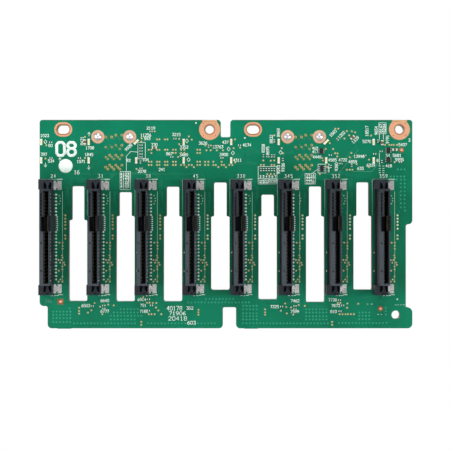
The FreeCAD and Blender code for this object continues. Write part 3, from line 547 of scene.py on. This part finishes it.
# Two printed tables that list the parts of a column, and one for the row of upright parts.
for row in range(5):
    textLines += numberStrokes(str(4107 + 13 * row), 31.85, 20.35 + 1.17 * row, 0)
for row in range(3):
    textLines += numberStrokes(str(2316 + 11 * row), 101.4, 21.0 + 1.15 * row, 0)
    textLines += numberStrokes(str(7 + row), 108.3, 17.0 + 1.1 * row, 0, 0.8)
for column in range(6):
    textLines += numberStrokes(str(61 + 3 * column), 82.75 + 1.11 * column, 23.05, 90, 0.9)
    textLines += numberStrokes(str(2 + column), 82.75 + 1.11 * column, 21.2, 0, 0.75)
textLines += numberStrokes("462", 103.2, 10.65, 0, 0.95) + numberStrokes("417", 103.2, 11.95, 0, 0.95)
bigLines = numberStrokes("08", 9.9, 10.9, 0, legend["bigHeight"], 1.05)
for name, segments, width in (
        ("legendNumbers", textLines, "textWidth"), ("bayNumbers", bayLines, "bayWidth"),
        ("legendRows", rowLines, "rowWidth"), ("largeNumber", bigLines, "bigWidth")):
    addPiece(name, [printed(onBoard(segments), legend[width])], legendInk)

# Each outline: left, top, right, bottom of a printed box.
boxes = (
    (36.8, 8.5, 39.6, 14.6), (81.9, 17.5, 88.9, 24.0), (30.15, 19.35, 34.05, 26.15), (99.45, 20.1, 103.35, 24.05),
    (104.3, 16.6, 107.2, 19.9), (127.1, 1.1, 129.8, 5.2),
)
lines = []
for x0, z0, x1, z1 in boxes:
    lines += [(x0, z0, x1, z0), (x1, z0, x1, z1), (x1, z1, x0, z1), (x0, z1, x0, z0)]
lines += [(left, z, right, z) for left, right in ((104.3, 105.0), (106.1, 107.2)) for z in (17.5, 18.3, 19.1)]
lines += [
    (81.9, 22.05, 88.9, 22.05), (33.5, 19.8, 33.5, 25.4), (32.5, 19.3, 32.5, 13.6), (32.5, 13.6, 34.2, 11.8),
    (34.2, 11.8, 36.8, 12.1), (102.3, 19.9, 104.3, 18.4), (128.8, 5.2, 128.8, 7.3), (127.3, 12.4, 127.3, 16.9),
]
lines += [(left, z, right, z) for left, right in ((127.1, 127.7), (128.5, 129.1)) for z in (17.3, 18.2, 19.0, 19.8)]
lines += [(127.3, 5.2, 127.3, 8.0)]
# Dashes, diamonds and arrows, with half their sizes in millimetres.
dashHalf = 0.2
diamondWide, diamondHigh = 0.6, 0.75
arrowWide, arrowHigh = 0.5, 0.8
dashes = ((122.9, 69.0), (124.4, 69.0), (133.4, 69.3), (134.3, 69.3), (135.4, 69.3), (136.4, 69.3), (126.8, 72.9),
          (128.0, 72.9))
lines += [(x - dashHalf, z, x + dashHalf, z) for x, z in dashes]
diamonds = ((2.15, 8.2), (55.2, 7.9), (55.8, 14.9), (70.8, 10.9), (72.4, 12.4), (90.3, 12.2))
for x, z in diamonds:
    lines += [(x - diamondWide, z, x, z - diamondHigh), (x, z - diamondHigh, x + diamondWide, z)]
    lines += [(x + diamondWide, z, x, z + diamondHigh), (x, z + diamondHigh, x - diamondWide, z)]
# Each arrow: from left, below top, and which way it points, 1 for up.
for x, z, way in ((18.5, 5.4, 1), (18.4, 17.8, -1), (7.6, 14.9, 1), (2.2, 16.9, -1)):
    tip = z - arrowHigh * way
    lines += [(x, tip, x, z + arrowHigh * way), (x - arrowWide, z, x, tip), (x + arrowWide, z, x, tip)]
addPiece("legendLines", [printed(onBoard(lines), legend["lineWidth"])], legendInk)
faintLines = numberStrokes("295", 3.3, 68.0, 0)
faintLines += [(111.8, 20.3, 119.5, 11.0), (117.5, 19.3, 124.6, 19.3), (124.6, 19.3, 126.7, 16.4)]
addPiece("faintLegends", [printed(onBoard(faintLines), legend["faintWidth"])], faintInk)
largeDisc = disc(legend["discRadius"], legend["near"], sunk, 48)
smallDisc = disc(legend["dotRadius"], legend["near"], sunk, 12)
addPiece("legendDisc", [
    stamp(largeDisc, onBoard(((9.75, 17.25),))),
    stamp(smallDisc, onBoard(((58.6, 1.2), (134.0, 67.2), (76.9, 6.8)))),
], legendInk)

# Outlines beside each drive socket, in millimetres from the middle of its slot; end is half its height.
end = socketHalf * 1000
sideLines = [(-3.85, end + 0.1, -3.85, 8.0), (4.55, end - 4.4, 4.55, -end + 4.4)]
socketLines = [
    (2.82, end + 0.22, 4.55, end + 0.22), (3.1, -end - 0.14, 4.55, -end - 0.14),
    (0.3, -end - 0.5, 0.75, -end - 0.5), (1.4, -end - 0.5, 1.95, -end - 0.5),
    (2.35, -end - 0.42, 3.05, -end - 0.42),
]
hairLines = [(-3.5, end + 0.2, 2.6, end + 0.2), (2.6, end + 0.2, 2.6, end - 0.1)]
addPiece("socketOutlines", [printed(bySocket(socketLines), legend["socketWidth"]),
                            printed(bySocket(hairLines), legend["hairWidth"])], legendInk)
# The first bay has no line on its left.
addPiece("socketSideLines", [printed(bySocket(sideLines)[1:], legend["sideWidth"])], mintInk)
print("legends")


# Vias: radii of their rings, bores and caps, and the heights of the caps.
viaLook = {"outer": 0.00037, "inner": 0.00021, "cap": 0.00029, "capHeight": 0.00006, "wide": 0.00046,
           "wideHeight": 0.00007, "bore": 0.00028, "thin": 0.00032, "faint": 0.0002, "faintHeight": 0.00005,
           "cream": 0.00038, "silver": 0.0003, "dotHeight": 0.0001, "boreShare": 1.02, "raise": 0.00004,
           "sides": 18, "boreSides": 14}

looseVias = (
    (2.5, 9.5), (2.2, 14.5), (17, 6.4), (17, 9.4), (17, 14.3), (43.1, 4.3), (38.2, 6.9),
    (38.1, 8.1), (51.9, 13.9), (36.3, 18.4), (52.3, 7.1), (52.3, 9.1), (55.9, 6.2), (57, 7.4),
    (62.1, 9.6), (64.2, 9.6), (62.5, 11.4), (64.1, 11.4), (66.4, 11.4), (68.7, 11.4),
    (73.2, 7.3), (72.7, 10.6), (75.1, 10.4), (73.3, 16), (83.8, 15.2), (86.6, 15.3),
    (87.9, 15.2), (82.9, 16.9), (84, 16.9), (86.9, 16.9), (87.9, 16.9), (85.3, 20.3),
    (86.6, 20.3), (87.9, 20.3), (87.9, 5.8), (90.7, 10.6), (91.1, 12.5), (110.8, 3.3),
    (111.9, 3.3), (115.1, 4.2), (114.2, 7), (117, 4.3), (118.2, 4.7), (116, 5.8), (108.7, 8.7),
    (107.2, 10.9), (110, 10.9), (110.7, 12.5), (111.6, 12.6), (111.5, 13.7), (116.8, 12.4),
    (116.2, 14), (105.9, 14.3), (106.2, 15.2), (107.7, 17.6), (105, 20.3), (118.8, 16.6),
    (115.1, 18.7), (116.2, 18.7), (117.2, 18.7), (124.2, 5.9), (123.4, 14.9), (123.4, 17.7),
    (129.4, 9.4), (131, 9.4), (131.8, 9.4), (132.6, 9.4), (133.9, 9.4), (133, 15.8),
)
bottomVias = (
    (14.8, 70.4), (14.8, 71.6), (14.8, 72.6), (18.1, 72.2), (19.4, 71.3), (20.6, 68.6),
    (22.7, 70), (25.7, 69.2), (23.5, 72.8), (27.8, 69.5), (38.8, 66.4), (38.1, 75.7),
    (38.1, 76.8), (40.2, 68.5), (41.2, 68.5), (42.4, 68.6), (43.7, 68.6), (43.6, 70.3),
    (44.5, 71.4), (45.6, 72.8), (40.9, 72.8), (41.9, 72.8), (43.1, 72.8), (59.5, 71.2),
    (59.5, 72.1), (59.5, 73), (84.5, 71), (84.5, 72.1), (84.5, 73), (92, 68.8), (92.4, 70.1),
    (90.4, 71.5), (92.6, 72.5), (94.2, 70.3), (97.1, 69.4), (95, 73), (99.4, 69.7),
    (111.7, 68.6), (112.7, 68.6), (115.3, 68.8), (115.2, 70.4), (112.4, 72.8), (113.5, 72.8),
    (114.6, 72.8), (115.5, 72.8), (116.6, 72.8), (117.7, 72.8), (119.4, 68.9), (109.6, 75.7),
    (109.6, 76.8),
)
# Rows of vias round the power header: below top, then the places from left.
powerVias = (
    (7.3, (44, 44.9, 47, 47.9)),
    (11.2, (40.9, 41.9, 44, 44.9, 47, 47.9, 50, 51, 53, 54.2, 59.1, 60.1)),
    (12.4, (41.9, 50, 51, 53, 54.2, 59.1, 60.1)),
    (15.7, (40.9, 41.9, 44, 44.9, 47, 47.9, 50, 51, 59.1, 60.1, 62, 63.2, 65.1, 68.2)),
    (16.9, (40.9, 41.9, 44, 44.9, 47, 47.9, 50, 51, 53, 54.2, 55.9, 57, 59.1, 60.1, 62, 63.2, 65.1, 66, 68.2,
            69.1, 71.1, 72.2)),
    (17.7, (55, 57.8, 67, 69.8)),
)
# The contact fields of the two rear cable sockets: nine columns whose rows step up and down by turns.
# Most are open rings (r); some are bare bores (o) and some are filled (f).
fieldRows = ((6.45, "roororoor"), (10.2, "foofofofr"), (13.95, "ffrffrffr"), (17.7, "rrrrrrrrr"))
fieldVias = {"r": [], "o": [], "f": []}
cablePitch = 71.12
fieldLeft = 24.78
fieldPitch = 0.755
fieldSteps = (0.0, 0.73, -0.73)
for left in (fieldLeft, fieldLeft + cablePitch):
    for column in range(9):
        step = fieldSteps[column % 3]
        for below, kinds in fieldRows:
            fieldVias[kinds[column]].append((left + fieldPitch * column, below + step))
ringPlaces = np.array(looseVias + bottomVias + tuple((x, below) for below, row in powerVias for x in row))
# Vias beside each drive socket, in millimetres from the middle of its slot.
socketVias = (
    (3.4, -2.1), (4.6, -2.1), (4.6, -3.3), (4.6, -4.4), (4.4, -6.9), (4.6, -7.7), (3.1, -8.6), (4.1, -8.6),
    (3.7, -9.6), (5.1, -9.6), (5.4, -10.4), (4.5, -11.0), (4.5, -12.1), (3.2, -12.6), (4.5, -14.8), (3.8, -15.9),
    (3.1, -16.7), (4.5, -16.7),
)
creamVias = ((5.6, 8.1), (5.6, 6.9), (5.6, 5.7), (5.6, 4.5), (5.6, 3.1), (5.6, 0.6), (5.6, -0.6))
faintVias = ((3.3, 15.5), (3.75, 14.5), (3.75, 13.5), (3.35, 12.5))
silverDots = ((-3.1, -5.8), (-3.1, -12.7))

# The faint vias of one bay stand further right.
shiftedBay = 5
faintShift = 0.00115
faintPlaces = bySocket(faintVias)
faintPlaces[len(faintVias) * shiftedBay:len(faintVias) * (shiftedBay + 1), 0] += faintShift
# The seven vias beside the contacts are bare gold in the first three bays.
goldenBays = 3
goldCount = goldenBays * len(creamVias)
creamPlaces = bySocket(creamVias)


def viaRing(inner, outer):
    return washer(viaLook[inner], viaLook[outer], -viaLook["raise"], sunk, viaLook["sides"])


def viaBore(radius):
    return disc(viaLook[radius] * viaLook["boreShare"], -sunk, sunk, viaLook["boreSides"])


def viaCap(radius, height, sides=12):
    return dome(2 * viaLook[radius], 2 * viaLook[radius], viaLook[height], sides)


cappedPlaces = np.vstack((onBoard(ringPlaces), bySocket(socketVias)))
openPlaces, barePlaces, filledPlaces = [onBoard(fieldVias[kind]) for kind in "rof"]
caps = [stamp(viaCap("cap", "capHeight"), cappedPlaces), stamp(viaCap("faint", "faintHeight"), faintPlaces)]
for name, shapes, look, slotName in (
        ("viaRings", [stamp(viaRing("inner", "outer"), cappedPlaces)], viaMetal, "copper"),
        ("viaCaps", caps, viaFill, "solder"),
        ("fieldRings", [stamp(viaRing("bore", "wide"), openPlaces)], viaGold, "copper"),
        ("fieldCaps", [stamp(viaCap("wide", "wideHeight", 14), filledPlaces)], viaTan, "copper"),
        ("fieldBores", [stamp(viaBore("bore"), openPlaces)], boreBrown, "copper"),
        ("bareRings", [stamp(viaRing("inner", "thin"), barePlaces)], viaBare, "copper"),
        ("bareBores", [stamp(viaBore("inner"), barePlaces)], boreDark, "copper")):
    addPiece(name, shapes + [onRear(shape) for shape in shapes], look)
creamCap = viaCap("cream", "dotHeight", 14)
addPiece("solderedVias", [stamp(creamCap, creamPlaces[goldCount:])], viaCream)
addPiece("goldenVias", [stamp(creamCap, creamPlaces[:goldCount])], viaGold)
addPiece("silverDots", [stamp(viaCap("silver", "dotHeight"), bySocket(silverDots))], viaFill)

# Vias covered by the lacquer: rows of (below top, first from left, last).
tentLook = {"size": 0.00072, "height": 0.00005, "pitch": 1.27}
tentedRows = (
    (70.65, 11.2, 11.6), (71.85, 5.1, 11.7), (73.05, 5.1, 11.7), (74.3, 5.1, 11.7), (75.75, 5.1, 11.7),
    (76.25, 12.9, 36.2), (76.25, 40.6, 54.9), (76.25, 59.3, 65.8), (70.9, 30.4, 36.9), (72.15, 27.8, 36.9),
    (73.4, 26.7, 38.3), (74.8, 26.7, 35.8), (68.4, 55.6, 78.9), (67.15, 62.3, 73.1), (69.7, 76.2, 81.9),
    (71.0, 76.2, 81.9), (72.5, 76.2, 81.9), (73.6, 76.2, 81.9), (74.8, 76.2, 81.9), (76.25, 76.2, 108.4),
    (71.0, 99.8, 108.4), (72.2, 99.8, 108.4), (73.6, 99.8, 108.4), (74.8, 99.8, 108.4), (76.15, 112.1, 130.9),
    (72.2, 119.7, 124.3), (73.4, 119.7, 124.3), (74.7, 119.7, 124.3), (18.6, 134.2, 137.0), (21.2, 131.5, 137.0),
)
tented = [(x, below) for below, first, last in tentedRows for x in np.arange(first, last, tentLook["pitch"])]
tented += [(x, below) for x in (135.3, 136.7) for below in (22.4, 23.9, 25.3, 26.8, 28.3, 29.8, 31.3, 32.8)]
tented += [(136.9, 34.0), (132.4, 22.4), (133.7, 22.4), (129.7, 70.4), (129.7, 71.7), (129.7, 73.0)]
tentShapes = [stamp(dome(tentLook["size"], tentLook["size"], tentLook["height"]), onBoard(tented))]
tentShapes += [onRear(shape) for shape in tentShapes]
addPiece("coveredVias", tentShapes, tentPaint)
print("vias", len(ringPlaces), len(tented))


def bundle(points, count, pitch):
    # Parallel copies of a bent line, shifted square to its first run and mitred at the bends.
    points = np.asarray(points, float)
    runs = np.diff(points, axis=0)
    runs /= np.linalg.norm(runs, axis=1, keepdims=True)
    square = np.stack((-runs[:, 1], runs[:, 0]), 1)
    before = np.vstack((square[:1], square))
    after = np.vstack((square, square[-1:]))
    mitre = before + after
    mitre /= (mitre * after).sum(1, keepdims=True)
    segments = []
    for index in range(count):
        line = points + mitre * (index - (count - 1) / 2) * pitch
        segments.append(np.hstack((line[:-1], line[1:])))
    return np.vstack(segments)


trackLook = {"width": 0.00016, "near": -0.000012}
# Tracks near each rear cable socket: the points of each, and how many run side by side.
cableTracks = (
    (((27.8, 18.9), (27.8, 20.2), (25.3, 22.7), (12.6, 22.7), (10.4, 24.9), (10.4, 32.5)), 4),
    (((30.5, 18.9), (31.6, 20.0), (43.5, 20.0), (45.4, 21.9), (45.4, 32.4)), 4),
    (((24.0, 12.1), (21.0, 12.1), (19.6, 13.5), (19.6, 20.2)), 3),
    (((32.0, 8.3), (36.0, 8.3), (37.3, 7.0), (49.5, 7.0)), 3),
)
frontTracks = []
for left in (0.0, cablePitch):
    frontTracks += [bundle([(left + x, below) for x, below in line], count, 0.36) for line, count in cableTracks]
frontTracks += [
    bundle(((4.5, 21.2), (6.4, 20.2), (60.5, 20.2), (62.0, 21.7), (62.0, 30.0)), 2, 0.36),
    bundle(((66.5, 13.6), (77.0, 13.6), (79.0, 11.6), (82.2, 11.6)), 5, 0.4),
    bundle(((74.0, 16.2), (81.5, 16.2)), 3, 0.4),
    bundle(((108.5, 20.2), (119.3, 9.6), (119.3, 6.4)), 2, 0.5),
    bundle(((3.0, 66.8), (6.8, 66.8), (8.6, 68.6), (26.5, 68.6)), 2, 0.4),
    bundle(((46.8, 69.4), (57.0, 69.4), (58.6, 71.0)), 3, 0.4),
    bundle(((84.8, 68.7), (97.0, 68.7), (98.4, 70.1), (107.5, 70.1)), 3, 0.4),
    bundle(((118.0, 66.6), (127.3, 66.6), (129.5, 68.8), (129.5, 73.0)), 3, 0.4),
]
armTracks = [
    bundle(((6.35, 17.0), (6.35, 9.5), (6.0, 9.0)), 2, 0.4),
    bundle(((5.3, -17.5), (5.3, -21.0)), 2, 0.4),
    bundle(((2.7, 9.2), (3.6, 9.2), (4.1, 8.7), (5.2, 8.7)), 1, 0.4),
]
trackRuns = (onBoard(np.vstack(frontTracks)), bySocket(np.vstack(armTracks)))
addPiece("coveredTracks", [strokes(runs, trackLook["width"], trackLook["near"], sunk, False) for runs in trackRuns],
         trackPaint)
print("tracks")


# Solder over the contact feet of the drive sockets.
footLook = {"across": 0.00086, "along": 0.0007, "height": 0.00032, "fineAcross": 0.00074, "fineAlong": 0.0005}
# In millimetres: how much shorter the long feet are than the fine ones, how far the solder joints lie inside
# the ends of both, and the rows of contacts.
footPlan = {"shorter": 0.45, "inside": 0.35, "fineInside": 0.36, "pitch": 1.27, "finePitch": 0.8,
            "firstSignal": 15.875, "firstPower": 1.905, "firstFine": 7.48}
fineEnd = (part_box("bay_0_socket_contacts")[1].x - socketX[0]) * 1000
longEnd = fineEnd - footPlan["shorter"]


def footRow(across, first, pitch, count):
    return [(across, first - pitch * index) for index in range(count)]


signal = footRow(longEnd - footPlan["inside"], footPlan["firstSignal"], footPlan["pitch"], 7)
power = footRow(longEnd - footPlan["inside"], footPlan["firstPower"], footPlan["pitch"], 15)
fine = footRow(fineEnd - footPlan["fineInside"], footPlan["firstFine"], footPlan["finePitch"], 7)
addPiece("footSolder", [
    stamp(dome(footLook["across"], footLook["along"], footLook["height"]), bySocket(signal + power)),
    stamp(dome(footLook["fineAcross"], footLook["fineAlong"], footLook["height"]), bySocket(fine)),
], solder)

# Shoulders of the contacts where their grooves in the thin wall begin; their near-white tone is a painted glint.
shoulderLook = {"face": 1.365, "height": 7.3, "size": 0.00044, "rise": 0.00012}


def shoulder():
    # A dome laid over, so that it bulges away from the slot.
    points, faceSets = dome(shoulderLook["size"], shoulderLook["size"], shoulderLook["rise"], 10)
    across = -points[:, 1] - sunk
    depth = points[:, 0] - shoulderLook["height"] / 1000
    return np.stack((across, depth, points[:, 2]), 1), faceSets


shoulderPlaces = bySocket([(shoulderLook["face"], along) for foot, along in signal + power])
addPiece("contactShoulders", [stamp(shoulder(), shoulderPlaces)], shoulderTinAndGlint)
print("solder")


# Fiducials, bare laminate and resin edges.
bareLook = {"hole": 0.00161, "land": 0.00204, "slotHole": (0.00462, 0.00332), "slotLand": (0.0055, 0.0042),
            "dotRadius": 0.00017, "dotReach": 0.00226, "patch": 0.00095, "squareHalf": 0.00105, "stripNear": 0.00003,
            "stripFar": 0.0007, "stripHalf": 0.0028, "edgeWidth": 0.00014, "near": -0.00002, "fiducial": 0.0009,
            "fiducialHeight": 0.00006}
fiducials = ((7.8, 68.1), (135.55, 11.3), (127.7, 70.75))
roundHoles = ((63.68, 3.58), (134.8, 3.58))
slottedHoles = ((8.85, 3.58), (79.97, 3.58))
topEdges = ((2.2, 0.07, 66.6, 0.07), (72.8, 0.07, 138.0, 0.07))
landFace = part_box("screw_lands")[0].y - sunk


def plate(left, right, foot, top, near):
    return prism(((left, foot), (right, foot), (right, top), (left, top)), near, sunk)


roundRing = washer(bareLook["hole"], bareLook["land"], bareLook["near"], sunk, 40)
slotRing = band(pill(*bareLook["slotHole"]), pill(*bareLook["slotLand"]), bareLook["near"], sunk)
addPiece("bareLaminateRings", [stamp(roundRing, onBoard(roundHoles)), stamp(slotRing, onBoard(slottedHoles))],
         bareLaminate)
# The first fiducial has a square patch, the others round ones.
side = bareLook["squareHalf"]
squarePatch = plate(-side, side, -side, side, bareLook["near"])
roundPatch = disc(bareLook["patch"], bareLook["near"], sunk, 28)
addPiece("fiducialPatches", [stamp(squarePatch, onBoard(fiducials[:1])), stamp(roundPatch, onBoard(fiducials[1:]))],
         fiducialResin)
strip = plate(-bareLook["stripHalf"], bareLook["stripHalf"], -bareLook["stripFar"], -bareLook["stripNear"], landFace)
addPiece("landEdgeStrips", [stamp(strip, onBoard([(x, 0.0) for x, below in roundHoles]))], paleLaminate)
addPiece("topEdgeStrip", [strokes(onBoard(topEdges), bareLook["edgeWidth"], bareLook["near"], sunk, False)],
         edgeResin)
dotReach = 1000 * bareLook["dotReach"]
dotPlaces = [(x + dotReach * across, below + dotReach * along) for x, below in roundHoles
             for across in (-1, 1) for along in (-1, 1)]
addPiece("landDots", [stamp(disc(bareLook["dotRadius"], landFace, sunk, 12), onBoard(dotPlaces))], landDot)
fiducialDot = dome(bareLook["fiducial"], bareLook["fiducial"], bareLook["fiducialHeight"], 20, bareLook["near"])
addPiece("fiducialDots", [stamp(fiducialDot, onBoard(fiducials))], fiducialCopper)


# Stage, light and camera; field is the width seen at the aim.
studio = {"world": 0.2, "distance": 0.355, "field": 0.1686, "floor": 1.6, "aim": (-0.02979, 0.0, -0.03581)}

# Each lamp: name, place, power, size.
lamps = (
    ("rightLight", (0.86, -0.60, -0.30), 58.0, 0.6),
    ("leftLight", (-0.52, -0.28, 0.10), 1.6, 0.34),
    ("topLight", (0.02, -0.30, 0.52), 2.0, 0.4),
    ("rearLight", (-0.2, 0.6, 0.3), 3.0, 0.5),
)


def whiteToCamera(tree, kind, shown):
    # The camera sees plain white; the object is lit by the shader that is handed in.
    seen = addNode(tree, "ShaderNodeLightPath").outputs["Is Camera Ray"]
    white = addNode(tree, kind, {"Color": (1, 1, 1, 1), "Strength": 1.0}).outputs[0]
    return addNode(tree, "ShaderNodeMixShader", {0: seen, 1: shown, 2: white}).outputs[0]


def addFloor(half, height):
    material, tree, shader = newMaterial("paleFloor", "#f4f4f2", 0.8)
    surface = whiteToCamera(tree, "ShaderNodeEmission", shader.outputs[0])
    tree.links.new(surface, tree.nodes["Material Output"].inputs["Surface"])
    mesh = bpy.data.meshes.new("floor")
    corners = ((-1, -1), (1, -1), (1, 1), (-1, 1))
    mesh.from_pydata([(half * x, half * y, height) for x, y in corners], [], [(0, 1, 2, 3)])
    mesh.materials.append(material)
    thing = bpy.data.objects.new("floor", mesh)
    bpy.context.scene.collection.objects.link(thing)
    return thing


def addWorld(strength):
    world = bpy.data.worlds.new("studioWorld")
    bpy.context.scene.world = world
    world.use_nodes = True
    tree = world.node_tree
    tree.nodes.clear()
    soft = addNode(tree, "ShaderNodeBackground", {"Color": (0.96, 0.98, 1.0, 1), "Strength": strength}).outputs[0]
    addNode(tree, "ShaderNodeOutputWorld", {"Surface": whiteToCamera(tree, "ShaderNodeBackground", soft)})


def addLight(name, place, power, size):
    data = bpy.data.lights.new(name, "AREA")
    data.energy = power
    data.size = size
    lamp = bpy.data.objects.new(name, data)
    bpy.context.scene.collection.objects.link(lamp)
    lamp.location = place
    lamp.rotation_mode = "QUATERNION"
    lamp.rotation_quaternion = Vector(np.subtract(studio["aim"], place)).to_track_quat("-Z", "Y")


floor = addFloor(studio["floor"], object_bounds()[0][2])
addWorld(studio["world"])
for lampValues in lamps:
    addLight(*lampValues)

cameraData = bpy.data.cameras.new("camera")
cameraData.sensor_fit = "AUTO"
cameraData.angle = 2 * math.atan(studio["field"] / 2 / studio["distance"])
cameraData.clip_start = 0.01
camera = bpy.data.objects.new("camera", cameraData)
bpy.context.scene.collection.objects.link(camera)
camera.location = (studio["aim"][0], -studio["distance"], studio["aim"][2])
camera.rotation_euler = (math.radians(90), 0, 0)
bpy.context.scene.camera = camera
bpy.context.scene.view_settings.view_transform = "Standard"
print("stage")
